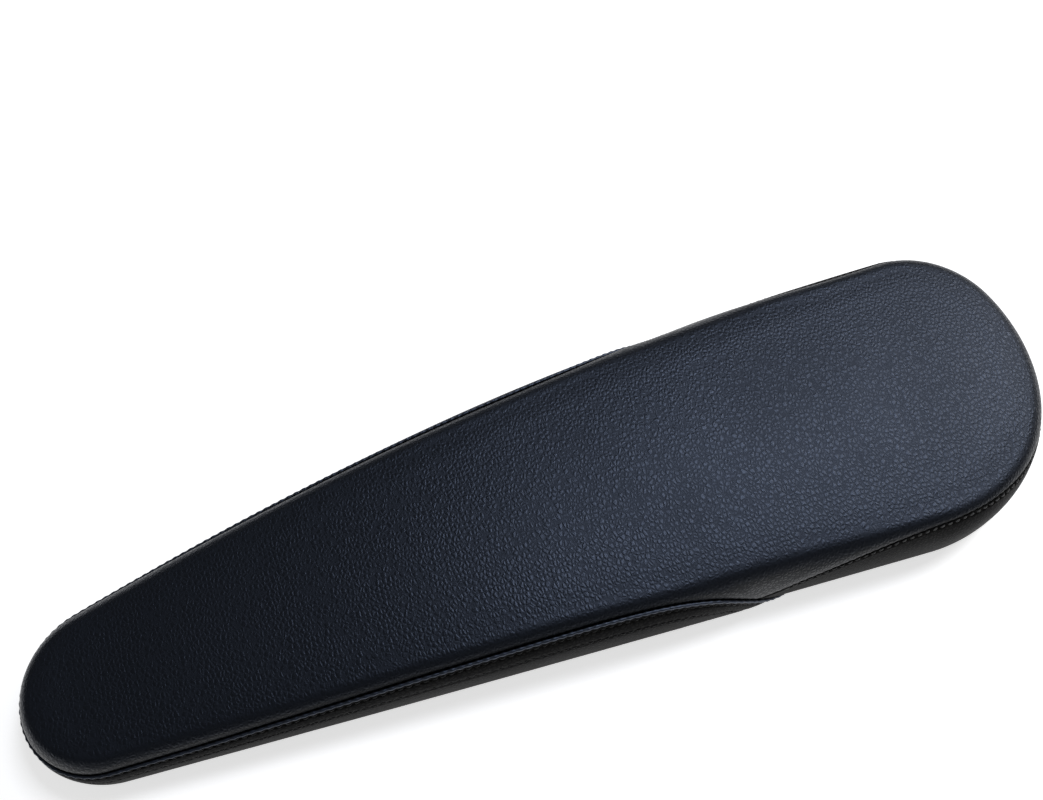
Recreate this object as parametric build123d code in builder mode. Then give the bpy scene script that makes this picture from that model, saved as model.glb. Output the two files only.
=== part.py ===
"""Tapered chair armrest pad: a padded board in a sewn leatherette cover.

The pad lies with its underside on Z = 0 and its length along X. The narrow end points
along -X and the wide end along +X. The +Y side is the more bowed one, and the -Y side is
nearly straight. The origin is under the middle of the pad. All sizes are in millimetres.
"""
from build123d import *
from math import atan2, cos, degrees, hypot, radians, sin, sqrt
import os

os.makedirs("parts", exist_ok=True)

# Overall size
overall_length = 383.0
overall_thickness = 34.0

# Outline: a narrow cap, two long bowed sides and a blunt wide end. Each side has a
# corner arc, which meets the end arc at the given direction from the end arc's centre.
narrow_radius = 29.5
end_radius = 72.0
end_offset = 8.9
narrow_offset = -0.6
bowed_side_radius = 1240.0
bowed_corner_radius = 40.0
bowed_corner_angle = 12.0
straight_side_radius = 18000.0
straight_corner_radius = 64.0
straight_corner_angle = 22.0

# Cover. The strip laps over the top panel round the narrow end, and its two tips run
# down to the hem. The band is sewn to the top panel round the wide end.
skin = 1.2
strip_thickness = 1.5
layer_gap = 0.1
seam_height = 24.0
strip_height = 26.5
skirt_foot = 15.0
top_roll = 9.5
foot_bevel = 4.0
hem_width = 17.0
strip_tip_x = 68.0
strip_tip_run = 28.0

# Stitching
thread_width = 0.8
thread_depth = 0.45
strip_upper_row = 24.6
strip_lower_row = 19.5
wide_end_row = 22.4

# Board and padding
dust_cover_thickness = 0.6
dust_cover_inset = 12.0
board_thickness = 9.0
board_edge_bevel = 1.5
padding_thickness = 1.5
core_top = 28.0
core_roll = 7.0

# M6 tee nuts, in one line under the middle of the pad
nut_spacing = 100.0
thread_bore_radius = 2.5
barrel_radius = 3.9
barrel_recess = 0.6
fitting_clearance = 0.1
flange_radius = 9.5
flange_thickness = 1.3
prong_size = (1.0, 2.6, 6.0)
prong_circle = 7.6
bolt_pocket_radius = 4.5
bolt_pocket_depth = 7.0
bolt_hole_radius = 6.0

# Staples
staple_crown = 10.0
staple_width = 1.0
staple_height = 0.5
staple_leg = 6.0
staple_sink = 0.1
hem_staple_inset = 14.5
hem_staple_count = 30
cover_staple_inset = 18.5
cover_staple_count = 14

# Worked out from the sizes above
cover_inset = strip_thickness + layer_gap
padding_inset = cover_inset + skin + layer_gap
core_inset = padding_inset + padding_thickness + layer_gap
narrow_tip_x = -overall_length / 2
wide_tip_x = overall_length / 2 + cover_inset
board_foot = dust_cover_thickness + skin
board_top = board_foot + board_thickness
panel_inside = overall_thickness - skin
lap_start_x = strip_tip_x - strip_tip_run - 2.0
beyond = 2 * overall_length
nut_places = [(x, 0, board_top) for x in (-nut_spacing, 0, nut_spacing)]
on_top = (Align.CENTER, Align.CENTER, Align.MIN)
hanging = (Align.CENTER, Align.CENTER, Align.MAX)

narrow_centre = (narrow_tip_x + narrow_radius, narrow_offset)
end_centre = (wide_tip_x - end_radius, end_offset)


def heading(start, end):
    """The direction in degrees from one centre to another."""
    return degrees(atan2(end[1] - start[1], end[0] - start[0]))


def half_outline(side, side_radius, corner_radius, corner_angle):
    """The arcs of one half of the outline, each tangent to the next.

    Each arc is its centre, its radius and the directions of its two ends, from the narrow
    tip to the wide tip. Side is 1 for the +Y half. The -Y half, -1, is worked out as if it
    were turned over to the +Y side, and then turned back.
    """
    narrow = (narrow_centre[0], side * narrow_centre[1])
    end = (end_centre[0], side * end_centre[1])
    corner_run = end_radius - corner_radius
    corner = (
        end[0] + corner_run * cos(radians(corner_angle)),
        end[1] + corner_run * sin(radians(corner_angle)),
    )
    span = hypot(corner[0] - narrow[0], corner[1] - narrow[1])
    tilt = radians(heading(narrow, corner))
    to_narrow = side_radius - narrow_radius
    to_corner = side_radius - corner_radius
    along = (to_narrow**2 - to_corner**2 + span**2) / (2 * span)
    across = sqrt(to_narrow**2 - along**2)
    middle = (
        narrow[0] + along * cos(tilt) + across * sin(tilt),
        narrow[1] + along * sin(tilt) - across * cos(tilt),
    )
    side_start = heading(middle, narrow)
    side_end = heading(middle, corner)
    arcs = [
        (narrow, narrow_radius, 180, side_start),
        (middle, side_radius, side_start, side_end),
        (corner, corner_radius, side_end, corner_angle),
        (end, end_radius, corner_angle, 0),
    ]
    return [((x, side * y), radius, side * a, side * b) for (x, y), radius, a, b in arcs]


outline_arcs = half_outline(1, bowed_side_radius, bowed_corner_radius, bowed_corner_angle)
outline_arcs += half_outline(
    -1, straight_side_radius, straight_corner_radius, straight_corner_angle
)


def draw_outline(inset, mode=Mode.ADD):
    """Draw the pad's outline, moved inwards by inset, in the active sketch."""
    with BuildLine() as edge:
        for centre, radius, start, end in outline_arcs:
            CenterArc(centre, radius - inset, start, end - start)
    make_face(edge.edges(), mode=mode)


def block(foot, top, inset, mode=Mode.ADD):
    """A straight-sided block with the pad's outline."""
    with BuildSketch(Plane.XY.offset(foot)) as face:
        draw_outline(inset)
    extrude(face.sketch, amount=top - foot, mode=mode)


def sloped_block(foot, top, foot_inset, top_inset, mode=Mode.ADD):
    """A block whose side slopes from one inset to another."""
    with BuildSketch(Plane.XY.offset(foot)) as lower:
        draw_outline(foot_inset)
    with BuildSketch(Plane.XY.offset(top)) as upper:
        draw_outline(top_inset)
    loft([lower.sketch, upper.sketch], ruled=True, mode=mode)


def ring(foot, top, outer, inner, mode=Mode.ADD):
    """A straight-sided ring that follows the outline."""
    with BuildSketch(Plane.XY.offset(foot)) as face:
        draw_outline(outer)
        draw_outline(inner, mode=Mode.SUBTRACT)
    extrude(face.sketch, amount=top - foot, mode=mode)


def dome(foot, top, inset, roll):
    """A block with a rolled top edge, as a part of its own."""
    with BuildPart() as shape:
        block(foot, top, inset)
        fillet(shape.faces().sort_by(Axis.Z)[-1].edges(), radius=roll)
    return shape.part


def tub(top, outer, thickness):
    """A skin round the pad's side, turned in under the board as a hem."""
    hem_foot = dust_cover_thickness
    bevel_top = hem_foot + foot_bevel
    inner = outer + thickness
    sloped_block(hem_foot, bevel_top, outer + foot_bevel, outer)
    block(bevel_top, top, outer)
    sloped_block(board_foot, bevel_top, inner + foot_bevel - skin, inner, mode=Mode.SUBTRACT)
    block(bevel_top, top, inner, mode=Mode.SUBTRACT)
    block(hem_foot, board_foot, outer + foot_bevel + hem_width, mode=Mode.SUBTRACT)


def clear_box(x_from, x_to, z_from, z_to):
    """Cut away everything between two X values and two heights."""
    with Locations(((x_from + x_to) / 2, 0, (z_from + z_to) / 2)):
        Box(x_to - x_from, beyond, z_to - z_from, mode=Mode.SUBTRACT)


def clear_past_tips(pull_back=0.0):
    """Cut away what lies past the strip's slanted tips."""
    start = strip_tip_x - strip_tip_run - pull_back
    end = strip_tip_x - pull_back
    with BuildSketch(Plane.XZ) as wedge:
        with BuildLine():
            Polyline(
                (start, beyond),
                (start, strip_height),
                (end, dust_cover_thickness + foot_bevel),
                (end, -beyond),
                (beyond, -beyond),
                (beyond, beyond),
                close=True,
            )
        make_face()
    extrude(wedge.sketch, amount=beyond, both=True, mode=Mode.SUBTRACT)


def places_along(inset, count, height):
    """Evenly spaced places along the outline, each turned to follow it."""
    with BuildSketch(Plane.XY.offset(height)) as face:
        draw_outline(inset)
    wire = face.sketch.face().outer_wire()
    places = []
    for step in range(count):
        fraction = (step + 0.5) / count
        point = wire.position_at(fraction)
        tangent = wire.tangent_at(fraction)
        turn = degrees(atan2(tangent.Y, tangent.X))
        places.append(Location((point.X, point.Y, height), (0, 0, turn)))
    return places


def staple_row(places):
    """Staples with their crowns at the given places and their legs pointing up."""
    leg_offset = (staple_crown - staple_width) / 2
    with Locations(*places):
        Box(staple_crown, staple_width, staple_height, align=on_top)
        with Locations((-leg_offset, 0, 0), (leg_offset, 0, 0)):
            Box(staple_width, staple_width, staple_leg, align=on_top)


def finish(piece, name):
    """Label a finished piece and write its STEP file."""
    piece.label = name
    export_step(piece, f"parts/{name}.step")
    print(name, "solids:", len(piece.solids()), "volume:", round(piece.volume, 1))


# --- Fasteners: made first, because other pieces are cut to fit them

with BuildPart() as hem_staples:
    staple_row(
        places_along(hem_staple_inset, hem_staple_count, dust_cover_thickness + staple_sink)
    )
finish(hem_staples.part, "hem_staples")

with BuildPart() as dust_cover_staples:
    staple_row(places_along(cover_staple_inset, cover_staple_count, staple_sink / 2))
finish(dust_cover_staples.part, "dust_cover_staples")

with BuildPart() as tee_nuts:
    barrel_foot = board_foot + barrel_recess
    barrel_length = board_top + flange_thickness - barrel_foot
    with Locations(*nut_places):
        Cylinder(flange_radius, flange_thickness, align=on_top)
        with PolarLocations(prong_circle, 4):
            Box(*prong_size, align=hanging)
    with Locations(*[(x, y, barrel_foot) for x, y, _ in nut_places]):
        Cylinder(barrel_radius, barrel_length, align=on_top)
        Cylinder(thread_bore_radius, barrel_length, align=on_top, mode=Mode.SUBTRACT)
finish(tee_nuts.part, "tee_nuts")

# --- Board and padding

with BuildPart() as base_board:
    bevel_top = board_foot + board_edge_bevel
    sloped_block(board_foot, bevel_top, core_inset + board_edge_bevel, core_inset)
    block(bevel_top, board_top, core_inset)
    with Locations(*nut_places):
        Hole(barrel_radius + fitting_clearance)
    add(tee_nuts.part, mode=Mode.SUBTRACT)
    add(hem_staples.part, mode=Mode.SUBTRACT)
    add(dust_cover_staples.part, mode=Mode.SUBTRACT)
finish(base_board.part, "base_board")

with BuildPart() as foam_core:
    add(dome(board_top, core_top, core_inset, core_roll))
    with Locations(*nut_places):
        Cylinder(
            flange_radius + fitting_clearance,
            flange_thickness + fitting_clearance,
            align=on_top,
            mode=Mode.SUBTRACT,
        )
        Cylinder(bolt_pocket_radius, bolt_pocket_depth, align=on_top, mode=Mode.SUBTRACT)
finish(foam_core.part, "foam_core")

with BuildPart() as edge_padding:
    ring(
        dust_cover_thickness + foot_bevel + layer_gap,
        seam_height,
        padding_inset,
        padding_inset + padding_thickness,
    )
finish(edge_padding.part, "edge_padding")

with BuildPart() as top_wadding:
    add(dome(seam_height + layer_gap, panel_inside - layer_gap, padding_inset, top_roll - skin))
    add(
        dome(board_top, core_top + layer_gap, core_inset - layer_gap, core_roll),
        mode=Mode.SUBTRACT,
    )
finish(top_wadding.part, "top_wadding")

# --- Cover

with BuildPart() as strip_upper_stitching:
    ring(strip_upper_row, strip_upper_row + thread_width, 0, thread_depth)
    clear_past_tips(pull_back=5.0)
finish(strip_upper_stitching.part, "strip_upper_stitching")

with BuildPart() as strip_lower_stitching:
    ring(strip_lower_row, strip_lower_row + thread_width, 0, thread_depth)
    clear_past_tips(pull_back=5.0)
finish(strip_lower_stitching.part, "strip_lower_stitching")

with BuildPart() as wide_end_stitching:
    ring(wide_end_row, wide_end_row + thread_width, cover_inset, cover_inset + thread_depth)
    clear_box(-beyond, lap_start_x + 5.0, 0, overall_thickness)
finish(wide_end_stitching.part, "wide_end_stitching")

with BuildPart() as top_panel:
    # The skirt goes down behind the strip, where both rows of stitching catch it
    ring(skirt_foot, seam_height, cover_inset, cover_inset + skin)
    clear_box(lap_start_x - 1.0, beyond, 0, seam_height)
    add(dome(seam_height, overall_thickness, cover_inset, top_roll))
    add(
        dome(seam_height, panel_inside, cover_inset + skin, top_roll - skin),
        mode=Mode.SUBTRACT,
    )
finish(top_panel.part, "top_panel")

with BuildPart() as wrap_strip:
    tub(strip_height, 0, strip_thickness)
    clear_past_tips()
    add(strip_upper_stitching.part, mode=Mode.SUBTRACT)
    add(strip_lower_stitching.part, mode=Mode.SUBTRACT)
    add(hem_staples.part, mode=Mode.SUBTRACT)
    add(dust_cover_staples.part, mode=Mode.SUBTRACT)
finish(wrap_strip.part, "wrap_strip")

with BuildPart() as wide_end_band:
    tub(seam_height, cover_inset, skin)
    clear_box(-beyond, lap_start_x, 0, seam_height)
    clear_box(-beyond, strip_tip_x + layer_gap, 0, dust_cover_thickness + foot_bevel)
    add(wide_end_stitching.part, mode=Mode.SUBTRACT)
    add(hem_staples.part, mode=Mode.SUBTRACT)
    add(dust_cover_staples.part, mode=Mode.SUBTRACT)
finish(wide_end_band.part, "wide_end_band")

with BuildPart() as dust_cover:
    block(0, dust_cover_thickness, dust_cover_inset)
    with Locations(*nut_places):
        Hole(bolt_hole_radius)
    add(dust_cover_staples.part, mode=Mode.SUBTRACT)
finish(dust_cover.part, "dust_cover")
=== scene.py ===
"""Looks for a tapered chair armrest pad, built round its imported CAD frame.

Sizes are in metres. The pad lies along X on the plane Z = 0, with its narrow end at -X.
A station is a place along the outline, counted from the narrow tip along the -Y side to
the wide tip, and back along the +Y side. The section is the pad's side in cross-section,
and travel is the way along the section, from the hem under the pad up to the flat top.
"""
from math import atan2, cos, degrees, hypot, radians, sin, sqrt, tau

import bpy
import numpy as np
from mathutils import Matrix, Vector
from mathutils.geometry import delaunay_2d_cdt


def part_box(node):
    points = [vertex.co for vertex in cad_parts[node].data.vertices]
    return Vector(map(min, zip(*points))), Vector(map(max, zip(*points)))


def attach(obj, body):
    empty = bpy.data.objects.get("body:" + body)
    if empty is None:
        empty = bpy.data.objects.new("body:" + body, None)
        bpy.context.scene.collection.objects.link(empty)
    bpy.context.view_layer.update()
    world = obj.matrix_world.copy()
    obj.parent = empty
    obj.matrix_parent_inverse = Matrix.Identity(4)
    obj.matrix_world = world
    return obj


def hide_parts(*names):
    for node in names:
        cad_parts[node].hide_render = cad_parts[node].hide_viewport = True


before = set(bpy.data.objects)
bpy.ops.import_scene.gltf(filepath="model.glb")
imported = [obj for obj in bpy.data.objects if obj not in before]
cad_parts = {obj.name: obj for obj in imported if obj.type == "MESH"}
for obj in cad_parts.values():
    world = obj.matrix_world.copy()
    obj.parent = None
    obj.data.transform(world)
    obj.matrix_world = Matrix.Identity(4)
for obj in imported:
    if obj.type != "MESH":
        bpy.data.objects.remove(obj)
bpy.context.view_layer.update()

MM = 0.001
SEED = 7

# Outline, as in the CAD model
strip_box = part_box("wrap_strip")
band_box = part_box("wide_end_band")
BODY_INSET = 1.6 * MM
NARROW_RADIUS = 29.5 * MM
END_RADIUS = 72.0 * MM
END_OFFSET = 8.9 * MM
NARROW_OFFSET = -0.6 * MM
BOWED_SIDE = (1240.0 * MM, 40.0 * MM, 12.0)
STRAIGHT_SIDE = (18000.0 * MM, 64.0 * MM, 22.0)
narrow_tip_x = strip_box[0].x
wide_tip_x = band_box[1].x + BODY_INSET
narrow_centre = (narrow_tip_x + NARROW_RADIUS, NARROW_OFFSET)
end_centre = (wide_tip_x - END_RADIUS, END_OFFSET)

# Section: two quarter superellipses that meet at the waist, between the hem and the top
FOOT = strip_box[0].z
WAIST = 13.0 * MM
ROLL_TOP = 31.2 * MM
ROLL_RUN = 8.5 * MM
ROLL_POWER = 2.3
FOOT_RUN = 7.0 * MM
FOOT_POWER = 2.8
HEM_END = 21.6 * MM
PLATEAU_INSET = 21.0 * MM
DOME_RISE = 0.8 * MM
DOME_RUN = 18.0 * MM
CROWN = 1.1 * MM

# Cover
LEATHER = 1.0 * MM
# Painted reflection colour: all the leather's reflections are tinted blue, standing in for the cool
# light of a window
COOL_LIGHT_REFLECTION_TINT = (0.6, 0.72, 1.0)
PEBBLE = 1.45 * MM
STRIP_PROUD = 1.6 * MM
STITCH_PITCH = 2.9 * MM
STRIP_TIP_X = 67.0 * MM
FAR_TIP_SHIFT = 9.0 * MM
BAND_START_X = 42.0 * MM
UPPER_ROW = 1.9 * MM
LOWER_ROW = 7.0 * MM
BAND_ROW = 0.45 * MM

# Dust cover under the pad
COVER_INSET = 12.0 * MM
COVER_CLOTH = 0.3 * MM
COVER_GRID = 3.0 * MM
COVER_STEP = 5
COVER_STAPLE_INSET = 18.5 * MM
COVER_STAPLES = 14
BOLT_HOLE = 6.0 * MM
BOLT_PLACES = (-100.0 * MM, 0.0, 100.0 * MM)

# The pad thins towards its narrow end: height over the waist, and run of the roll
NARROW_RISE = 0.66
NARROW_RUN = 0.62
THINNING = (-185.0 * MM, -10.0 * MM)

# Heights of the strip's upper edge and of the wide end's seam, by place along X
STRIP_EDGE = [
    (-191.5, 17.5), (-184.0, 18.0), (-163.0, 19.7), (-143.0, 20.5), (-126.0, 21.8),
    (-90.0, 24.4), (-66.0, 26.1), (-24.0, 28.0), (0.0, 28.4), (20.0, 27.8), (31.0, 26.1),
    (40.0, 23.4), (47.0, 19.2), (53.0, 13.8), (59.0, 8.0), (65.0, 3.4), (67.0, 2.4),
]
END_SEAM = [
    (40.0, 8.0), (52.0, 11.5), (62.0, 16.0), (69.0, 19.3), (83.0, 23.3), (101.0, 27.0),
    (119.0, 28.9), (132.0, 29.6), (150.0, 29.0), (163.0, 27.8), (174.0, 26.0), (193.0, 24.0),
]

HALF_STATIONS = 700
STATIONS = 2 * HALF_STATIONS
TOP_CROSSINGS = 32

# Cloth simulation of the top panel: it starts flatter, and the padding swells it
START_CROWN = 0.45 * MM
SWELL = 0.75 * MM
COARSE_ROWS = [6, 9, 12, 15, 18, 21, 24, 27]
COARSE_STEP = 10
COARSE_CROSSINGS = 14
BLEND_REACH = 6.0 * MM
BLEND_BATCH = 4000
SWELL_ROWS = (7, 18)
FRAMES = 20
PRESSURE = 4.0


# ---------------------------------------------------------------- outline and section

def heading(start, end):
    """The direction in degrees from one centre to another."""
    return degrees(atan2(end[1] - start[1], end[0] - start[0]))


def half_outline(side, side_radius, corner_radius, corner_angle):
    """The arcs of one half of the outline: centre, radius and the directions of both ends."""
    narrow = (narrow_centre[0], side * narrow_centre[1])
    end = (end_centre[0], side * end_centre[1])
    corner_run = END_RADIUS - corner_radius
    corner = (
        end[0] + corner_run * cos(radians(corner_angle)),
        end[1] + corner_run * sin(radians(corner_angle)),
    )
    span = hypot(corner[0] - narrow[0], corner[1] - narrow[1])
    tilt = radians(heading(narrow, corner))
    to_narrow = side_radius - NARROW_RADIUS
    to_corner = side_radius - corner_radius
    along = (to_narrow**2 - to_corner**2 + span**2) / (2 * span)
    across = sqrt(to_narrow**2 - along**2)
    middle = (
        narrow[0] + along * cos(tilt) + across * sin(tilt),
        narrow[1] + along * sin(tilt) - across * cos(tilt),
    )
    side_start = heading(middle, narrow)
    side_end = heading(middle, corner)
    arcs = [
        (narrow, NARROW_RADIUS, 180, side_start),
        (middle, side_radius, side_start, side_end),
        (corner, corner_radius, side_end, corner_angle),
        (end, END_RADIUS, corner_angle, 0),
    ]
    return [((x, side * y), radius, side * a, side * b) for (x, y), radius, a, b in arcs]


def sample_half(arcs, count):
    """Evenly spaced places along one half: arc centre x and y, radius and direction."""
    lengths = [abs(radians(end - start)) * radius for _, radius, start, end in arcs]
    joins = np.concatenate([[0], np.cumsum(lengths)])
    rows = []
    for distance in np.linspace(0, joins[-1], count + 1):
        which = min(int(np.searchsorted(joins, distance, side="right")) - 1, len(arcs) - 1)
        (x, y), radius, start, end = arcs[which]
        share = (distance - joins[which]) / lengths[which]
        rows.append((x, y, radius, radians(start + (end - start) * share)))
    return np.array(rows)


class Outline:
    """The closed outline at evenly spaced stations."""

    def __init__(self):
        near = sample_half(half_outline(-1, *STRAIGHT_SIDE), HALF_STATIONS)
        far = sample_half(half_outline(1, *BOWED_SIDE), HALF_STATIONS)
        rows = np.vstack([near, far[-2:0:-1]])
        self.centre = rows[:, :2]
        self.radius = rows[:, 2]
        self.outward = np.column_stack([np.cos(rows[:, 3]), np.sin(rows[:, 3])])
        self.edge = self.at(np.zeros(STATIONS))
        steps = np.linalg.norm(np.roll(self.edge, -1, axis=0) - self.edge, axis=1)
        self.along = np.concatenate([[0], np.cumsum(steps)[:-1]])
        self.x = self.edge[:, 0]

    def at(self, inset, stations=slice(None)):
        """Points of the outline moved inwards by inset."""
        reach = self.radius[stations] - inset
        return self.centre[stations] + reach[..., None] * self.outward[stations]


class Section:
    """The curve of the pad's side: inset and height by travel from the hem's inner end."""

    def __init__(self):
        turn = np.radians(np.linspace(90, 0, 80))
        lower_inset = BODY_INSET + FOOT_RUN * (1 - np.cos(turn) ** (2 / FOOT_POWER))
        lower_height = WAIST - (WAIST - FOOT) * np.sin(turn) ** (2 / FOOT_POWER)
        turn = np.radians(np.linspace(0, 90, 160))[1:]
        upper_inset = BODY_INSET + ROLL_RUN * (1 - np.cos(turn) ** (2 / ROLL_POWER))
        upper_height = WAIST + (ROLL_TOP - WAIST) * np.sin(turn) ** (2 / ROLL_POWER)
        onward = np.linspace(upper_inset[-1], 2 * PLATEAU_INSET, 60)[1:]
        inset = np.concatenate([[HEM_END], lower_inset, upper_inset, onward])
        height = np.concatenate([[FOOT], lower_height, upper_height, np.full(59, ROLL_TOP)])
        height += DOME_RISE * ease(inset, BODY_INSET, BODY_INSET + DOME_RUN) * (height > WAIST)
        travel = np.concatenate([[0], np.cumsum(np.hypot(np.diff(inset), np.diff(height)))])
        self.travel = np.arange(0, travel[-1], 0.1 * MM)
        self.inset = np.interp(self.travel, travel, inset)
        self.height = np.interp(self.travel, travel, height)
        slope = np.hypot(np.gradient(self.inset), np.gradient(self.height))
        self.normal_in = soften(-np.gradient(self.height) / slope, 6)
        self.normal_up = soften(np.gradient(self.inset) / slope, 6)
        upper = self.height >= WAIST
        self.top_start = np.interp(PLATEAU_INSET, self.inset[upper], self.travel[upper])

    def travel_at_height(self, height):
        return np.interp(height, self.height, self.travel)

    def point(self, travel):
        """Inset, height and both parts of the outward normal at a travel."""
        rows = (self.inset, self.height, self.normal_in, self.normal_up)
        return [np.interp(travel, self.travel, values) for values in rows]


def soften(values, width):
    """A Gaussian blur of a row of values. Width is in samples."""
    reach = int(4 * width)
    weights = np.exp(-0.5 * (np.arange(-reach, reach + 1) / width) ** 2)
    padded = np.pad(values, reach, mode="edge")
    return np.convolve(padded, weights / weights.sum(), mode="valid")


def ease(value, start, end):
    """0 before start, 1 after end, and a smooth step between them."""
    share = np.clip((value - start) / (end - start), 0, 1)
    return share * share * (3 - 2 * share)


def bump(value, middle, width):
    """A bell of height 1."""
    return np.exp(-(((value - middle) / width) ** 2))


outline = Outline()
section = Section()


fullness = ease(outline.x, *THINNING)
rise_share = NARROW_RISE + (1 - NARROW_RISE) * fullness
run_share = NARROW_RUN + (1 - NARROW_RUN) * fullness


def place(travel, lift, stations=slice(None)):
    """Points in space, one row for each place along the section, one column a station."""
    inset, height, normal_in, normal_up = section.point(travel)
    over_waist = height > WAIST
    run = np.where(over_waist, run_share[stations], 1)
    rise = np.where(over_waist, rise_share[stations], 1)
    steep = np.hypot(normal_in / run, normal_up / rise)
    inset = BODY_INSET + (inset - BODY_INSET) * run + lift * normal_in / run / steep
    height = np.where(over_waist, WAIST + (height - WAIST) * rise, height)
    height = height + lift * normal_up / rise / steep
    flat = outline.at(inset, stations)
    return np.concatenate([flat, height[..., None]], axis=-1)


def travel_to(height):
    """How far along the section a row of heights is, one height for each station."""
    full_height = np.where(height > WAIST, WAIST + (height - WAIST) / rise_share, height)
    return section.travel_at_height(full_height)


def height_along(table, x):
    """Heights from a few places along X, smoothed along the outline."""
    places, heights = np.array(table).T * MM
    values = np.interp(x, places, heights)
    spacing = outline.along[1]
    ring = np.concatenate([values, values, values])
    return soften(ring, 5 * MM / spacing)[STATIONS:2 * STATIONS]


on_far_side = np.arange(STATIONS) > HALF_STATIONS
strip_x = outline.x - on_far_side * FAR_TIP_SHIFT * ease(outline.x, 0.0, 50 * MM)
strip_edge_height = height_along(STRIP_EDGE, strip_x)
end_seam_height = height_along(END_SEAM, outline.x)
strip_edge = travel_to(strip_edge_height)
end_seam = travel_to(end_seam_height)
under_strip = strip_x < STRIP_TIP_X
higher_seam = np.maximum(strip_edge_height, end_seam_height)
border_height = np.where(under_strip, higher_seam, end_seam_height)
border = travel_to(border_height)
stitch_wave = np.cos(tau * outline.along / STITCH_PITCH)


# ---------------------------------------------------------------- meshes

def new_piece(name, points, faces, material):
    """A smooth-shaded mesh object that rides on the pad's one body."""
    mesh = bpy.data.meshes.new(name)
    mesh.from_pydata(np.asarray(points, float).tolist(), [], faces)
    mesh.validate()
    mesh.shade_smooth()
    mesh.materials.append(material)
    piece = bpy.data.objects.new(name, mesh)
    bpy.context.scene.collection.objects.link(piece)
    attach(piece, "root")
    return piece


def tidy_face(corners):
    """The corners without repeats, or nothing where fewer than three are left."""
    kept = list(dict.fromkeys(corners))
    return kept if len(kept) > 2 else None


def grid_faces(index, closed_columns=False, closed_rows=False):
    """Quads between neighbouring rows and columns of vertex numbers."""
    if closed_columns:
        index = np.hstack([index, index[:, :1]])
    if closed_rows:
        index = np.vstack([index, index[:1]])
    quads = np.stack([index[:-1, :-1], index[:-1, 1:], index[1:, 1:], index[1:, :-1]], axis=-1)
    faces = (tidy_face(corners) for corners in quads.reshape(-1, 4).tolist())
    return [face for face in faces if face]


def crossing_index(ring, inner, crossings):
    """Vertex numbers of the crossings that join the -Y half of a ring to its +Y half."""
    rows = []
    half = len(ring) // 2
    for station in range(half + 1):
        first, last = ring[station], ring[-station]
        if station in (0, half):
            rows.append([first] * (crossings + 1))
        else:
            start = inner + (station - 1) * (crossings - 1)
            rows.append([first, *range(start, start + crossings - 1), last])
    return np.array(rows)


def crossing_points(ring, crossings, rise):
    """The inner points of the crossings of a ring, with a rise that swells in the middle."""
    half = len(ring) // 2
    near = ring[1:half]
    far = ring[:half:-1]
    share = np.arange(1, crossings) / crossings
    points = near[:, None] + (far - near)[:, None] * share[None, :, None]
    width = np.linalg.norm(far - near, axis=1)
    swell = (4 * share * (1 - share)) ** 2
    points[:, :, 2] += rise * (width / width.max())[:, None] ** 2 * swell[None]
    return points


def lens_mesh(outer_rows, inner_rows, crossings, outer_rise, inner_rise):
    """A closed form: rows of rings over the top, rows of rings inside, crossings on both."""
    rings = np.concatenate([inner_rows[::-1], outer_rows])
    count, stations = rings.shape[:2]
    index = np.arange(count * stations).reshape(count, stations)
    points = [rings.reshape(-1, 3)]
    faces = grid_faces(index, closed_columns=True)
    total = count * stations
    for ring_row, rise, flip in ((count - 1, outer_rise, False), (0, inner_rise, True)):
        inner = crossing_points(rings[ring_row], crossings, rise)
        numbers = crossing_index(index[ring_row], total, crossings)
        numbers = numbers[:, ::-1] if flip else numbers
        faces += grid_faces(numbers.T)
        points.append(inner.reshape(-1, 3))
        total += inner.shape[0] * inner.shape[1]
    return np.concatenate(points), faces


def tube_of_rows(rows, closed_columns=False):
    """A closed form from rows round a band's cross-section, with its two ends capped."""
    rings = np.stack(rows)
    count, stations = rings.shape[:2]
    index = np.arange(count * stations).reshape(count, stations)
    faces = grid_faces(index, closed_columns=closed_columns, closed_rows=True)
    if not closed_columns:
        faces += [index[:, 0].tolist(), index[::-1, -1].tolist()]
    return rings.reshape(-1, 3), faces


# ---------------------------------------------------------------- materials

def add_node(tree, kind, inputs=None, **settings):
    """A shader node with its settings, and with values or links on its inputs."""
    node = tree.nodes.new(kind)
    for name, value in settings.items():
        setattr(node, name, value)
    for name, value in (inputs or {}).items():
        if isinstance(value, bpy.types.NodeSocket):
            tree.links.new(value, node.inputs[name])
        else:
            node.inputs[name].default_value = value
    return node


def new_material(name, **values):
    """A material with one Principled shader. Values go straight on its sockets."""
    material = bpy.data.materials.new(name)
    material.use_nodes = True
    tree = material.node_tree
    shader = tree.nodes["Principled BSDF"]
    for socket, value in values.items():
        shader.inputs[socket.replace("_", " ")].default_value = value
    return material, tree, shader


def scaled_place(tree, scale):
    """Object coordinates, scaled by one number for each axis."""
    where = add_node(tree, "ShaderNodeTexCoord").outputs["Object"]
    mapping = add_node(tree, "ShaderNodeMapping", {"Vector": where, "Scale": scale})
    return mapping.outputs["Vector"]


def noise(tree, where, scale, detail=2.0, rough=0.5):
    return add_node(
        tree, "ShaderNodeTexNoise",
        {"Vector": where, "Scale": scale, "Detail": detail, "Roughness": rough},
    )


def ramp(tree, factor, stops):
    """A colour ramp. Stops are (position, colour), and a colour may be one grey number."""
    node = add_node(tree, "ShaderNodeValToRGB", {"Fac": factor})
    elements = node.color_ramp.elements
    while len(elements) < len(stops):
        elements.new(0.5)
    for element, (position, colour) in zip(elements, stops):
        element.position = position
        grey = (colour,) * 3 if isinstance(colour, float) else colour
        element.color = (*grey, 1)
    return node.outputs["Color"]


def to_range(tree, value, low, high, new_low, new_high):
    node = add_node(
        tree, "ShaderNodeMapRange",
        {"Value": value, "From Min": low, "From Max": high, "To Min": new_low, "To Max": new_high},
    )
    return node.outputs["Result"]


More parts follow.
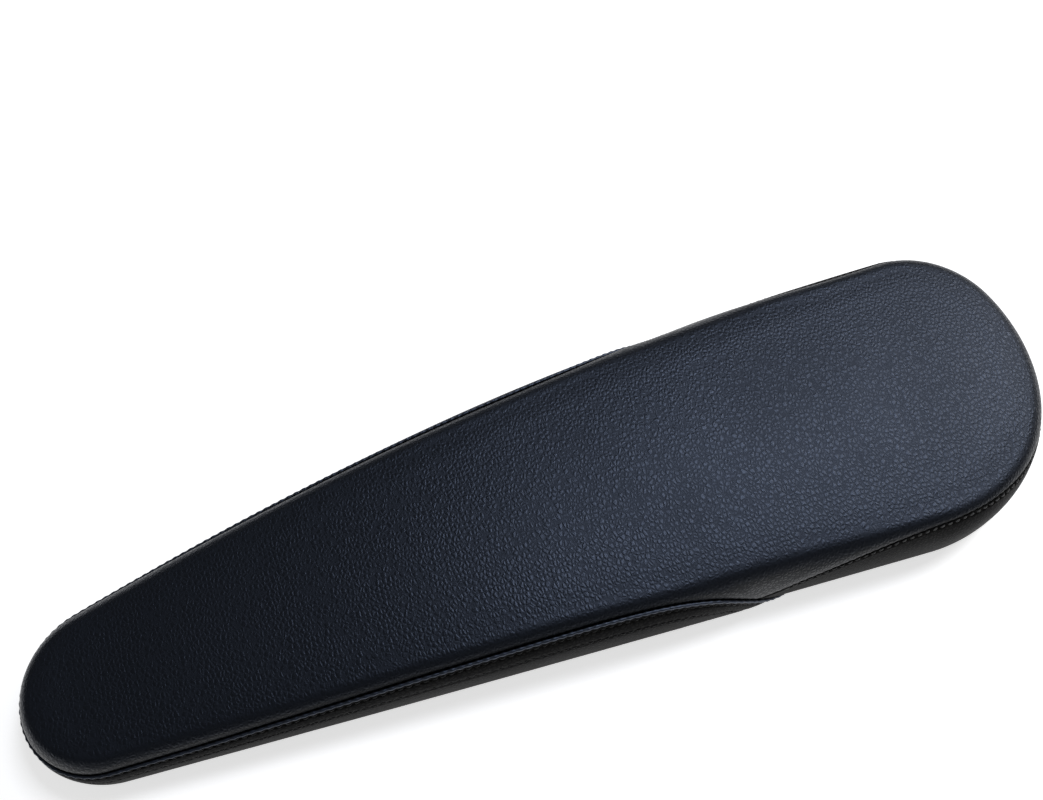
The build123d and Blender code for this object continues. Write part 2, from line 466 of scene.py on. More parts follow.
def pebble_cells(tree, where):
    """Distance from the nearest crease, where gently wandering creases part the pebbles."""
    drift = noise(tree, where, 0.7, 1.0)
    shift = add_node(
        tree, "ShaderNodeVectorMath",
        {0: drift.outputs["Color"], 1: (0.45, 0.45, 0.45)},
        operation="MULTIPLY",
    )
    moved = add_node(
        tree, "ShaderNodeVectorMath",
        {0: where, 1: shift.outputs["Vector"]},
        operation="ADD",
    )
    cells = add_node(
        tree, "ShaderNodeTexVoronoi",
        {"Vector": moved.outputs["Vector"], "Scale": 1.0, "Randomness": 0.85},
        feature="DISTANCE_TO_EDGE",
    )
    return cells.outputs["Distance"]


def side_shade_tint(tree):
    """A reflection tint that fades where the leather turns down over the pad's side: painted shade
    that darkens the steep sides.
    """
    facing = add_node(tree, "ShaderNodeTexCoord").outputs["Normal"]
    upward = add_node(tree, "ShaderNodeSeparateXYZ", {"Vector": facing})
    return ramp(tree, upward.outputs["Z"], [(0.5, (0.14, 0.16, 0.2)), (0.9, COOL_LIGHT_REFLECTION_TINT)])


def leather(name, dark, light, shine, rough, grain_height, crease_rough=0.0, paint_side_shade=False):
    """Leatherette: rounded pebbles between creases, with finer pores on them."""
    material, tree, shader = new_material(name, Specular_IOR_Level=shine)
    # Painted reflection colour: the reflections are tinted blue like a cool window light
    shader.inputs["Specular Tint"].default_value = (*COOL_LIGHT_REFLECTION_TINT, 1)
    # Painted shade: the reflections fade on the steep sides
    if paint_side_shade:
        tree.links.new(side_shade_tint(tree), shader.inputs["Specular Tint"])
    cell = 1 / PEBBLE
    where = scaled_place(tree, (cell, 0.8 * cell, cell))
    from_crease = pebble_cells(tree, where)
    pebbles = to_range(tree, from_crease, 0.0, 0.36, 0.0, 1.0)
    pebbles.node.interpolation_type = "SMOOTHSTEP"
    pores = noise(tree, where, 4.5, 3.0, 0.6)
    height = add_node(
        tree, "ShaderNodeMath",
        {0: pebbles, 1: to_range(tree, pores.outputs["Fac"], 0.3, 0.7, -0.18, 0.18)},
        operation="ADD",
    )
    relief = add_node(
        tree, "ShaderNodeBump",
        {"Height": height.outputs["Value"], "Distance": grain_height, "Strength": 1.0},
    )
    tree.links.new(relief.outputs["Normal"], shader.inputs["Normal"])
    # Painted shade: the base colour is darker in the creases than on the pebbles
    colour = ramp(tree, from_crease, [(0.03, dark), (0.22, light)])
    tree.links.new(colour, shader.inputs["Base Color"])
    worn = noise(tree, scaled_place(tree, (22.0, 22.0, 22.0)), 1.0, 4.0)
    creases = to_range(tree, from_crease, 0.02, 0.2, crease_rough, 0.0)
    uneven = add_node(
        tree, "ShaderNodeMath",
        {0: to_range(tree, worn.outputs["Fac"], 0.3, 0.7, rough - 0.03, rough + 0.03), 1: creases},
        operation="ADD",
    )
    tree.links.new(uneven.outputs["Value"], shader.inputs["Roughness"])
    return material


def thread_material(name, dark, light, shine):
    """Black bonded thread: fine slanted plies with a lustre."""
    material, tree, shader = new_material(name, Specular_IOR_Level=shine, Sheen_Weight=0.3 * shine)
    where = scaled_place(tree, (1 / MM, 1 / MM, 1 / MM))
    plies = add_node(
        tree, "ShaderNodeTexWave",
        {"Vector": where, "Scale": 1.1, "Distortion": 0.6},
        bands_direction="DIAGONAL",
    )
    relief = add_node(
        tree, "ShaderNodeBump",
        {"Height": plies.outputs["Fac"], "Distance": 0.08 * MM, "Strength": 0.8},
    )
    tree.links.new(relief.outputs["Normal"], shader.inputs["Normal"])
    # Painted shade: the base colour is darker in the grooves between the plies
    colour = ramp(tree, plies.outputs["Fac"], [(0.0, dark), (1.0, light)])
    tree.links.new(colour, shader.inputs["Base Color"])
    rough = to_range(tree, plies.outputs["Fac"], 0.0, 1.0, 0.42, 0.3)
    tree.links.new(rough, shader.inputs["Roughness"])
    return material


def wood_material():
    """Sanded plywood: long grain on the faces and stacked plies on the edge."""
    material, tree, shader = new_material("plywood", Roughness=0.62)
    lengthwise = scaled_place(tree, (6.0, 90.0, 14.0))
    grain = add_node(
        tree, "ShaderNodeTexWave",
        {"Vector": lengthwise, "Scale": 1.0, "Distortion": 5.0, "Detail": 4.0},
        bands_direction="Y",
    )
    plies = add_node(
        tree, "ShaderNodeTexWave",
        {"Vector": scaled_place(tree, (0.0, 0.0, 1 / (1.5 * MM) / tau)), "Scale": 1.0},
        bands_direction="Z",
    )
    both = add_node(
        tree, "ShaderNodeMath",
        {0: grain.outputs["Fac"], 1: plies.outputs["Fac"]},
        operation="MULTIPLY",
    )
    colour = ramp(
        tree, both.outputs["Value"],
        [(0.0, (0.36, 0.22, 0.11)), (0.8, (0.62, 0.45, 0.27))],
    )
    tree.links.new(colour, shader.inputs["Base Color"])
    relief = add_node(
        tree, "ShaderNodeBump",
        {"Height": grain.outputs["Fac"], "Distance": 0.15 * MM, "Strength": 0.5},
    )
    tree.links.new(relief.outputs["Normal"], shader.inputs["Normal"])
    return material


def foam_material(name, dark, light, cell_size):
    """Open-cell foam: small pits in a pale body, the pits painted darker as shade."""
    material, tree, shader = new_material(name, Roughness=0.95, Specular_IOR_Level=0.2)
    cells = add_node(
        tree, "ShaderNodeTexVoronoi",
        {"Vector": scaled_place(tree, (1 / cell_size,) * 3), "Scale": 1.0},
    )
    # Painted shade: the base colour is darker in the pits
    colour = ramp(tree, cells.outputs["Distance"], [(0.1, dark), (0.7, light)])
    tree.links.new(colour, shader.inputs["Base Color"])
    relief = add_node(
        tree, "ShaderNodeBump",
        {"Height": cells.outputs["Distance"], "Distance": 0.4 * cell_size, "Strength": 0.7},
    )
    tree.links.new(relief.outputs["Normal"], shader.inputs["Normal"])
    return material


def wadding_material():
    """Polyester wadding: tangled pale fibres."""
    material, tree, shader = new_material("wadding", Roughness=0.9, Sheen_Weight=0.4)
    fibres = noise(tree, scaled_place(tree, (700.0, 260.0, 700.0)), 1.0, 6.0, 0.7)
    colour = ramp(tree, fibres.outputs["Fac"], [(0.3, 0.66), (0.7, 0.9)])
    tree.links.new(colour, shader.inputs["Base Color"])
    relief = add_node(
        tree, "ShaderNodeBump",
        {"Height": fibres.outputs["Fac"], "Distance": 0.5 * MM, "Strength": 0.8},
    )
    tree.links.new(relief.outputs["Normal"], shader.inputs["Normal"])
    return material


def steel_material(name, tint, rough, streak):
    """Plated steel with fine drawn streaks and a slightly uneven plating."""
    material, tree, shader = new_material(name, Metallic=1.0)
    patches = noise(tree, scaled_place(tree, streak), 1.0, 4.0, 0.6)
    darker = tuple(0.82 * share for share in tint)
    colour = ramp(tree, patches.outputs["Fac"], [(0.3, darker), (0.7, tint)])
    tree.links.new(colour, shader.inputs["Base Color"])
    uneven = to_range(tree, patches.outputs["Fac"], 0.3, 0.7, rough - 0.08, rough + 0.1)
    tree.links.new(uneven, shader.inputs["Roughness"])
    relief = add_node(
        tree, "ShaderNodeBump",
        {"Height": patches.outputs["Fac"], "Distance": 0.03 * MM, "Strength": 0.6},
    )
    tree.links.new(relief.outputs["Normal"], shader.inputs["Normal"])
    return material


def non_woven_material():
    """Spun-bonded cloth: matt black fibres pressed together in a grid of small dots."""
    material, tree, shader = new_material(
        "non_woven", Roughness=0.88, Specular_IOR_Level=0.25, Sheen_Weight=0.2,
    )
    pitch = 1.6 * MM
    in_rows = scaled_place(tree, (1 / pitch, 1 / pitch, 0.0))
    dots = add_node(
        tree, "ShaderNodeTexVoronoi",
        {"Vector": in_rows, "Scale": 1.0, "Randomness": 0.0},
    )
    fibres = noise(tree, scaled_place(tree, (900.0, 2400.0, 900.0)), 1.0, 5.0, 0.7)
    pressed = to_range(tree, dots.outputs["Distance"], 0.2, 0.34, 0.0, 1.0)
    height = add_node(
        tree, "ShaderNodeMath",
        {0: pressed, 1: fibres.outputs["Fac"]},
        operation="ADD",
    )
    relief = add_node(
        tree, "ShaderNodeBump",
        {"Height": height.outputs["Value"], "Distance": 0.12 * MM, "Strength": 0.9},
    )
    tree.links.new(relief.outputs["Normal"], shader.inputs["Normal"])
    colour = ramp(tree, fibres.outputs["Fac"], [(0.3, 0.016), (0.7, 0.04)])
    tree.links.new(colour, shader.inputs["Base Color"])
    return material


def floor_material():
    """A pale matt studio floor that glows most near the pad and fades outwards: a painted pool of
    light, which also lights the pad.
    """
    material, tree, shader = new_material("studio_floor", Roughness=0.8, Specular_IOR_Level=0.1)
    shader.inputs["Emission Color"].default_value = (1, 1, 1, 1)
    distance = add_node(
        tree, "ShaderNodeVectorMath",
        {0: scaled_place(tree, (1.0, 1.0, 1.0))},
        operation="LENGTH",
    )
    # Painted light: the floor's glow is strongest near the pad
    glow = to_range(tree, distance.outputs["Value"], 0.5, 2.6, 0.66, 0.2)
    tree.links.new(glow, shader.inputs["Emission Strength"])
    mottle = noise(tree, scaled_place(tree, (3.0, 3.0, 3.0)), 1.0)
    colour = ramp(tree, mottle.outputs["Fac"], [(0.3, 0.86), (0.7, 0.88)])
    tree.links.new(colour, shader.inputs["Base Color"])
    return material


# ---------------------------------------------------------------- sewn cover

def wrapped(travel):
    """0 on the hem under the pad, and 1 on the pad's side."""
    return ease(travel, section.travel_at_height(0.8 * MM), section.travel_at_height(7.0 * MM))


def border_valley(above, depth):
    """How far the top panel dips where the stitches pull it down beside its border."""
    valley = np.where(above < -0.5 * MM, 1.0, bump(above, -0.5 * MM, 0.85 * MM))
    return -depth * valley


def tip_puckers(above):
    """Fine gathers in the top panel beside the strip's tips, where it is pulled tight."""
    reach = bump(strip_x, 47 * MM, 15 * MM) * ease(above, 0.4, 2.5) * (1 - ease(above, 9.0, 16.0))
    slant = outline.along + 0.5 * above * MM
    ridges = np.sin(tau * slant / (1.7 * MM) + 1.3 * np.sin(tau * slant / (9.0 * MM)))
    return 0.11 * MM * reach * ridges


def panel_rows():
    """Rows of the top panel's outer face: tucked in below the border, then up to the top."""
    spacing = [-3.0, -1.8, -1.0, -0.5, -0.1, 0.25, 0.6, 1.0, 1.5, 2.1, 2.8, 3.7, 4.8, 6.0]
    rows = []
    tuck = LEATHER * (0.55 + 0.75 * ease(strip_x, 40 * MM, 60 * MM))
    for above in spacing:
        travel = border + above * MM
        dip = border_valley(np.full(STATIONS, above * MM), tuck)
        pull = 0.16 * MM * (1 + stitch_wave) / 2 * bump(above * MM, 0.4 * MM, 1.3 * MM)
        puff = 0.25 * MM * bump(above, 4.0, 3.0)
        rows.append((travel, dip - pull + puff + tip_puckers(np.full(STATIONS, above))))
    last = border + spacing[-1] * MM
    for share in np.linspace(0, 1, 15)[1:]:
        travel = last + (section.top_start - last) * share
        above = (travel - border) / MM
        rows.append((travel, 0.25 * MM * bump(above, 4.0, 3.0) + tip_puckers(above)))
    return rows


def coarse_panel(rings):
    """A light copy of the top panel's face, to simulate, and the numbers of its rim's points."""
    few = rings[COARSE_ROWS][:, ::COARSE_STEP]
    count, stations = few.shape[:2]
    index = np.arange(count * stations).reshape(count, stations)
    inner = crossing_points(few[-1], COARSE_CROSSINGS, START_CROWN)
    numbers = crossing_index(index[-1], count * stations, COARSE_CROSSINGS)
    faces = grid_faces(index, closed_columns=True) + grid_faces(numbers.T)
    return np.concatenate([few.reshape(-1, 3), inner.reshape(-1, 3)]), faces, index[0].tolist()


def simulated_swell(points, faces, rim):
    """How far the padding pushes out each point of the leather, by cloth simulation."""
    mesh = bpy.data.meshes.new("swelling")
    mesh.from_pydata(points.tolist(), [], faces)
    sheet = bpy.data.objects.new("swelling", mesh)
    scene = bpy.context.scene
    scene.collection.objects.link(sheet)
    sheet.vertex_groups.new(name="rim").add(rim, 1.0, "REPLACE")
    cloth = sheet.modifiers.new("cloth", "CLOTH")
    cloth.settings.use_pressure = True
    cloth.settings.uniform_pressure_force = PRESSURE
    cloth.settings.vertex_group_mass = "rim"
    cloth.settings.effector_weights.gravity = 0
    cloth.point_cache.frame_start = 1
    cloth.point_cache.frame_end = FRAMES
    for step in range(1, FRAMES + 1):
        scene.frame_set(step)
    swollen = sheet.evaluated_get(bpy.context.evaluated_depsgraph_get())
    moved = np.array([tuple(vertex.co) for vertex in swollen.data.vertices]) - points
    bpy.data.objects.remove(sheet)
    bpy.data.meshes.remove(mesh)
    scene.frame_set(1)
    furthest = np.linalg.norm(moved, axis=1).max()
    return moved * min(1, SWELL / furthest)


def spread(points, sources, shifts):
    """The shifts of some places, blended smoothly over many other points."""
    blended = np.empty_like(points)
    for start in range(0, len(points), BLEND_BATCH):
        batch = slice(start, start + BLEND_BATCH)
        part = points[batch]
        gap = (part**2).sum(axis=1)[:, None] + (sources**2).sum(axis=1)[None] - 2 * part @ sources.T
        weights = np.exp(-gap / (2 * BLEND_REACH**2))
        blended[batch] = weights @ shifts / weights.sum(axis=1, keepdims=True)
    return blended


def make_top_panel(material):
    """The top panel: a closed lens of leather, tucked in under the seams round its border."""
    outer = np.stack([place(travel, lift) for travel, lift in panel_rows()])
    inner_rows = []
    for share in (0.0, 0.12, 0.3, 0.6, 1.0):
        travel = border - 3.0 * MM + (section.top_start - border + 3.0 * MM) * share
        lift = -2.4 * MM + LEATHER * ease(share, 0.0, 0.4) * 1.2
        inner_rows.append(place(travel, np.full(STATIONS, lift)))
    points, faces = lens_mesh(outer, np.stack(inner_rows), TOP_CROSSINGS, START_CROWN, START_CROWN)
    coarse, coarse_faces, rim = coarse_panel(outer)
    swell = simulated_swell(coarse, coarse_faces, rim)
    first, on_rings = len(inner_rows) * STATIONS, len(outer) * STATIONS
    last = first + on_rings + (HALF_STATIONS - 1) * (TOP_CROSSINGS - 1)
    share = np.ones(last - first)
    share[:on_rings] = np.repeat(ease(np.arange(len(outer)), *SWELL_ROWS), STATIONS)
    points[first:last] += share[:, None] * spread(points[first:last], coarse, swell)
    piece = new_piece("top_panel_leather", points, faces, material)
    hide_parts("top_panel")


def fold_rows(edge, outer_lift, inner_lift, depth, steps=7):
    """Rows round a folded edge, from the outer face over to the inner face."""
    rows = []
    for turn in np.radians(np.linspace(75, -90, steps)):
        back = depth * (1 - cos(turn))
        middle = (outer_lift + inner_lift) / 2
        half = (outer_lift - inner_lift) / 2
        rows.append((edge - back, middle + half * sin(turn)))
    return rows


class Strip:
    """Where the side strip runs, and how far each part of it stands out."""

    def __init__(self):
        far_count = int(np.sum(under_strip[HALF_STATIONS:]))
        near_count = int(np.sum(under_strip[:HALF_STATIONS]))
        far = np.arange(STATIONS - far_count, STATIONS)
        self.stations = np.concatenate([far, np.arange(near_count)])
        self.wave = stitch_wave[self.stations]
        self.edge = strip_edge[self.stations]
        slope = np.gradient(self.edge, outline.along[1])
        self.widen = np.minimum(np.sqrt(1 + slope**2), 2.2)
        tip = strip_x[self.stations]
        self.body = 1 - 0.4 * ease(tip, 54 * MM, STRIP_TIP_X)

    def outer(self, travel, back):
        """The outer face's lift. Back is the distance down from the folded edge."""
        proud = STRIP_PROUD - 0.75 * MM * bump(back, 0.0, 4.0 * MM)
        upper_groove = 0.3 * MM * (1 + 0.3 * self.wave) * bump(back, UPPER_ROW, 0.4 * MM)
        lower_groove = 0.25 * MM * (1 + 0.6 * self.wave) * bump(back, LOWER_ROW, 0.6 * MM)
        return (proud * wrapped(travel) - upper_groove - lower_groove) * self.body

    def inner(self, travel):
        """The inner face's lift: on the cover at the side, one thickness in under the pad."""
        on_side = wrapped(travel)
        return 0.05 * MM * on_side - LEATHER * (1 - on_side)


def make_wrap_strip(strip, material):
    """The strip round the side, from its hem below up to just under its folded edge."""
    edge, widen = strip.edge, strip.widen
    rows = []
    backs = [8.6, 8.0, 7.5, 7.0, 6.5, 6.0, 5.2, 4.2, 3.3, 2.7, 2.3, 2.05, 1.9, 1.7, 1.4, 1.1]
    lowest = np.maximum(edge - backs[0] * MM * widen, 0)
    for share in np.linspace(0, 1, 22)[:-1]:
        travel = lowest * share
        rows.append((travel, strip.outer(travel, (edge - travel) / widen)))
    for back in backs:
        travel = np.maximum(edge - back * MM * widen, 0)
        rows.append((travel, strip.outer(travel, np.full(len(edge), back * MM))))
    top = edge - 0.35 * MM * widen
    outer_lift = strip.outer(top, np.full(len(edge), 0.9 * MM))
    rows += fold_rows(top, outer_lift, strip.inner(top), 0.4 * MM)
    for share in np.linspace(1, 0, 16)[1:]:
        travel = top * share
        rows.append((travel, strip.inner(travel)))
    points, faces = tube_of_rows([place(travel, lift, strip.stations) for travel, lift in rows])
    piece = new_piece("wrap_strip_leather", points, faces, material)
    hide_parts("wrap_strip")


def make_strip_fold(strip, material):
    """The strip's upper edge: leather turned in on itself, nipped at every stitch."""
    half_width = (0.62 - 0.1 * strip.wave) * MM * (0.45 + 0.55 * strip.body)
    half_height = (0.62 - 0.12 * strip.wave) * MM * (0.35 + 0.65 * strip.body)
    middle = 0.45 * MM * strip.body
    rows = []
    for turn in np.linspace(0, tau, 16, endpoint=False):
        travel = strip.edge - 0.35 * MM + half_width * cos(turn)
        rows.append((travel, middle + half_height * sin(turn)))
    points, faces = tube_of_rows([place(travel, lift, strip.stations) for travel, lift in rows])
    piece = new_piece("wrap_strip_fold", points, faces, material)
    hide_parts("wrap_strip")


def make_wide_end_band(material):
    """The band round the wide end, sewn to the top panel along its upper edge."""
    stations = np.flatnonzero(outline.x > BAND_START_X)
    wave = stitch_wave[stations]
    edge = end_seam[stations] - 0.05 * MM
    side_foot = float(section.travel_at_height(6.0 * MM))
    clear_of_strip = ease(strip_x[stations], STRIP_TIP_X - 1.4 * MM, STRIP_TIP_X - 0.6 * MM)
    start = side_foot * (1 - clear_of_strip)

    def outer_lift(back):
        turned = 0.12 * MM * bump(back, 0.3 * MM, 1.8 * MM)
        groove = 0.3 * MM * (1 + 0.3 * wave) * bump(back, BAND_ROW, 0.45 * MM)
        return turned - groove

    rows = []
    backs = [4.5, 3.4, 2.6, 2.0, 1.6, 1.3, 1.1, 0.9, 0.7, 0.5]
    lowest = edge - backs[0] * MM
    for share in np.linspace(0, 1, 24)[:-1]:
        travel = start + (lowest - start) * share
        rows.append((travel, outer_lift(edge - travel)))
    for back in backs:
        rows.append((edge - back * MM, outer_lift(np.full(len(edge), back * MM))))
    inner = np.full(len(edge), -LEATHER)
    rows += fold_rows(edge, outer_lift(np.full(len(edge), 0.4 * MM)), inner, 0.4 * MM)
    for share in np.linspace(1, 0, 16)[1:]:
        rows.append((start + (edge - start) * share, inner))
    shaped = [place(travel, lift, stations) for travel, lift in rows]
    piece = new_piece("wide_end_band_leather", *tube_of_rows(shaped), material)
    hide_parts("wide_end_band")
    return stations, edge, outer_lift


def stitch_shape(length, width, height):
    """One stitch: a short bowed thread whose ends dive into the cover."""
    along_steps, round_steps = 9, 8
    points = []
    for share in np.linspace(-1, 1, along_steps):
        girth = sqrt(max(1 - abs(share) ** 3.5, 0.04))
        for turn in np.linspace(0, tau, round_steps, endpoint=False):
            points.append((
                share * length / 2,
                cos(turn) * girth * width / 2,
                sin(turn) * girth * height / 2 - share**2 * height * 0.55,
            ))
    index = np.arange(along_steps * round_steps).reshape(along_steps, round_steps)
    faces = grid_faces(index, closed_columns=True)
    faces += [index[0].tolist(), index[-1, ::-1].tolist()]
    return np.array(points), faces


def make_stitches(name, node, line, lifted, material):
    """A row of separate stitches along a line. Lifted is the same line a little further out."""
    rng = np.random.default_rng(SEED)
    shape, shape_faces = stitch_shape(2.15 * MM, 0.62 * MM, 0.55 * MM)
    travelled = np.concatenate([[0], np.cumsum(np.linalg.norm(np.diff(line, axis=0), axis=1))])
    count = int(travelled[-1] / STITCH_PITCH)
    points, faces = [], []
    for number in range(count):
        middle = (number + 0.5) * travelled[-1] / count
        here, ahead, behind, out = (
            np.array([np.interp(middle + shift, travelled, values[:, axis]) for axis in range(3)])
            for values, shift in ((line, 0.0), (line, 1 * MM), (line, -1 * MM), (lifted, 0.0))
        )
        run = (ahead - behind) / np.linalg.norm(ahead - behind)
        up = out - here
        up = up - run * (up @ run)
        up /= np.linalg.norm(up)
        side = np.cross(up, run)
        tilt = radians(7.0 + rng.uniform(-2.5, 2.5))
        lean = run * cos(tilt) + side * sin(tilt)
        across = np.cross(up, lean)
        scale = 1 + rng.uniform(-0.05, 0.05)
        turned = shape * (scale, 1, 1) @ np.array([lean, across, up])
        faces += [[corner + len(points) * len(shape) for corner in face] for face in shape_faces]
        points.append(here + turned)
    piece = new_piece(name, np.concatenate(points), faces, material)
    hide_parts(node)


def make_strip_stitches(strip, material):
    for name, node, back in (
        ("strip_upper_stitches", "strip_upper_stitching", UPPER_ROW),
        ("strip_lower_stitches", "strip_lower_stitching", LOWER_ROW),
    ):
        travel = strip.edge - back * strip.widen
        lift = strip.outer(travel, np.full(len(travel), back))
        kept = travel > section.travel_at_height(4.0 * MM)
        line = place(travel, lift + 0.1 * MM, strip.stations)[kept][12:-12]
        lifted = place(travel, lift + 1.1 * MM, strip.stations)[kept][12:-12]
        make_stitches(name, node, line, lifted, material)


def make_band_stitches(band, material):
    stations, edge, outer_lift = band
    kept = outline.x[stations] > 63 * MM
    travel = edge - BAND_ROW
    lift = outer_lift(np.full(len(edge), BAND_ROW))
    line = place(travel, lift + 0.12 * MM, stations)[kept]
    lifted = place(travel, lift + 1.12 * MM, stations)[kept]
    make_stitches("wide_end_stitches", "wide_end_stitching", line, lifted, material)


# ---------------------------------------------------------------- padding and underside

def make_wadding(material):
    start = section.travel_at_height(24.5 * MM)
    outer, inner = [], []
    for share in np.linspace(0, 1, 8):
        travel = np.full(STATIONS, start + (section.top_start - start) * share)
        outer.append(place(travel, np.full(STATIONS, -2.6 * MM + 0.9 * MM * ease(share, 0.1, 0.6))))
        inner.append(place(travel, np.full(STATIONS, -2.9 * MM - 1.3 * MM * ease(share, 0.0, 0.7))))
    points, faces = lens_mesh(np.stack(outer), np.stack(inner), 12, 0.8 * CROWN, 0.8 * CROWN)
    piece = new_piece("top_wadding_fibre", points, faces, material)
    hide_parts("top_wadding")


def make_foam_core(material):
    start = section.travel_at_height(14.0 * MM)
    outer = []
    for share in np.linspace(0, 1, 12):
        travel = np.full(STATIONS, start + (section.top_start - start) * share)
        outer.append(place(travel, np.full(STATIONS, -3.2 * MM - 1.3 * MM * ease(share, 0.1, 0.6))))
    inner = []
    for inset in (0.0, 6 * MM):
        ring = place(np.full(STATIONS, start), np.full(STATIONS, -3.2 * MM - inset))
        ring[:, 2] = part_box("foam_core")[0].z
        inner.append(ring)
    points, faces = lens_mesh(np.stack(outer), np.stack(inner), 12, 0.8 * CROWN, 0.0)
    piece = new_piece("foam_core_block", points, faces, material)
    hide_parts("foam_core")


def make_edge_padding(material):
    low, high = section.travel_at_height(5.5 * MM), section.travel_at_height(22.0 * MM)
    shares = np.linspace(0, 1, 8)
    rows = [(share, -1.3 * MM - 1.2 * MM * ease(share, 0.3, 0.7)) for share in shares]
    rows += [(share, -2.7 * MM) for share in shares[::-1]]
    shaped = [
        place(np.full(STATIONS, low + (high - low) * share), np.full(STATIONS, lift))
        for share, lift in rows
    ]
    points, faces = tube_of_rows(shaped, closed_columns=True)
    piece = new_piece("edge_padding_foam", points, faces, material)
    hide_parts("edge_padding")


def cover_staple_places():
    """Where the dust cover's staples are: evenly spaced along a line inside its edge."""
    line = outline.at(np.full(STATIONS, COVER_STAPLE_INSET))
    steps = np.linalg.norm(np.roll(line, -1, axis=0) - line, axis=1)
    travelled = np.concatenate([[0], np.cumsum(steps)])
    closed = np.vstack([line, line[:1]])
    wanted = (np.arange(COVER_STAPLES) + 0.5) * travelled[-1] / COVER_STAPLES
    return np.column_stack([np.interp(wanted, travelled, closed[:, axis]) for axis in range(2)])


def cover_triangles(ring, holes):
    """Flat triangles inside the ring and outside the round holes."""
    loops = [ring]
    for x in holes:
        turn = np.linspace(0, tau, 40, endpoint=False)
        loops.append(np.column_stack([x + BOLT_HOLE * np.cos(turn), BOLT_HOLE * np.sin(turn)]))
    edges, first = [], 0
    for loop in loops:
        count = len(loop)
        edges += [(first + step, first + (step + 1) % count) for step in range(count)]
        first += count
    columns = np.arange(ring[:, 0].min(), ring[:, 0].max(), COVER_GRID)
    rows = np.arange(ring[:, 1].min(), ring[:, 1].max(), COVER_GRID)
    inner = np.array([
        (x + 0.5 * COVER_GRID * (number % 2), y) for number, y in enumerate(rows) for x in columns
    ])
    to_loops = np.linalg.norm(inner[:, None] - np.vstack(loops)[None], axis=2).min(axis=1)
    flat = [Vector(point) for point in np.vstack([*loops, inner[to_loops > 0.5 * COVER_GRID]])]
    inside_only = 1
    points, _, faces, *_ = delaunay_2d_cdt(
        flat, edges, [list(range(len(ring)))], inside_only, 1e-6,
    )
    points = np.array([tuple(point) for point in points])
    middles = np.array([points[corners].mean(axis=0) for corners in faces])
    kept = np.ones(len(faces), bool)
    for x in holes:
        kept &= np.linalg.norm(middles - (x, 0), axis=1) > BOLT_HOLE
    return points, [corners for corners, keep in zip(faces, kept) if keep]


def make_dust_cover(material):
    """Thin cloth stapled over the hem: drawn up at each staple, and slack between them."""
    ripple = 0.12 * MM * np.sin(np.arange(STATIONS // COVER_STEP) * tau / 11)
    ring = outline.at(COVER_INSET + np.repeat(ripple, COVER_STEP))[::COVER_STEP]
    points, faces = cover_triangles(ring, BOLT_PLACES)
    to_staple = np.linalg.norm(points[:, None] - cover_staple_places()[None], axis=2).min(axis=1)
    drawn = np.exp(-((to_staple / (6 * MM)) ** 2))
    x, y = points.T / MM
    slack = np.sin(x / 9) * np.sin(y / 7 + x / 23)
    low = (0.14 + 0.1 * drawn + 0.03 * (1 - drawn) * slack) * MM
    below = np.column_stack([points, low])
    above = np.column_stack([points, low + COVER_CLOTH])
    count = len(points)
    sides = {
        pair: None for corners in faces for pair in zip(corners, [*corners[1:], corners[0]])
    }
    rim = [pair for pair in sides if pair[::-1] not in sides]
    closed = [list(corners)[::-1] for corners in faces]
    closed += [[corner + count for corner in corners] for corners in faces]
    closed += [[start, end, end + count, start + count] for start, end in rim]
    piece = new_piece("dust_cover_cloth", np.concatenate([below, above]), closed, material)
    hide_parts("dust_cover")


# ---------------------------------------------------------------- studio

def make_floor(material):
    reach = 3.0
    mesh = bpy.data.meshes.new("studio_floor")
    corners = [(-reach, -reach, 0), (reach, -reach, 0), (reach, reach, 0), (-reach, reach, 0)]
    mesh.from_pydata(corners, [], [(0, 1, 2, 3)])
    mesh.materials.append(material)
    floor = bpy.data.objects.new("studio_floor", mesh)
    bpy.context.scene.collection.objects.link(floor)


def make_light(name, azimuth, elevation, distance, size, power, tint=(1, 1, 1)):
    """A soft square light that looks at the pad. Azimuth 0 is on +X and 90 on +Y."""
    data = bpy.data.lights.new(name, "AREA")
    data.shape = "SQUARE"
    data.size = size
    data.energy = power
    data.color = tint
    light = bpy.data.objects.new(name, data)
    turn, rise = radians(azimuth), radians(elevation)
    direction = Vector((cos(turn) * cos(rise), sin(turn) * cos(rise), sin(rise)))
    light.location = direction * distance
    light.rotation_euler = direction.to_track_quat("Z", "Y").to_euler()
    bpy.context.scene.collection.objects.link(light)


def make_world(strength, tint):
    world = bpy.data.worlds.new("studio_air")
    world.use_nodes = True
    background = world.node_tree.nodes["Background"]
    background.inputs["Color"].default_value = (*tint, 1)
    background.inputs["Strength"].default_value = strength
    bpy.context.scene.world = world


def make_camera():
    """The camera looks down at the pad from beside its narrow end."""
    elevation, turn = radians(63.65), radians(20.94)
    distance, target = 0.3788, Vector((3.9 * MM, 48.78 * MM, 20 * MM))
    focal_pixels, frame_pixels = 1007.5, 1043.0
    forward = Vector((sin(turn) * cos(elevation), cos(turn) * cos(elevation), -sin(elevation)))
    right = Vector((cos(turn), -sin(turn), 0))
    up = right.cross(forward)
    data = bpy.data.cameras.new("camera")
    data.sensor_width = 36
    data.lens = 36 * focal_pixels / frame_pixels
    data.clip_start, data.clip_end = 0.01, 20
    camera = bpy.data.objects.new("camera", data)
    rotation = Matrix((right, up, -forward)).transposed()
    camera.matrix_world = Matrix.Translation(target - forward * distance) @ rotation.to_4x4()
    bpy.context.scene.collection.objects.link(camera)
    bpy.context.scene.camera = camera


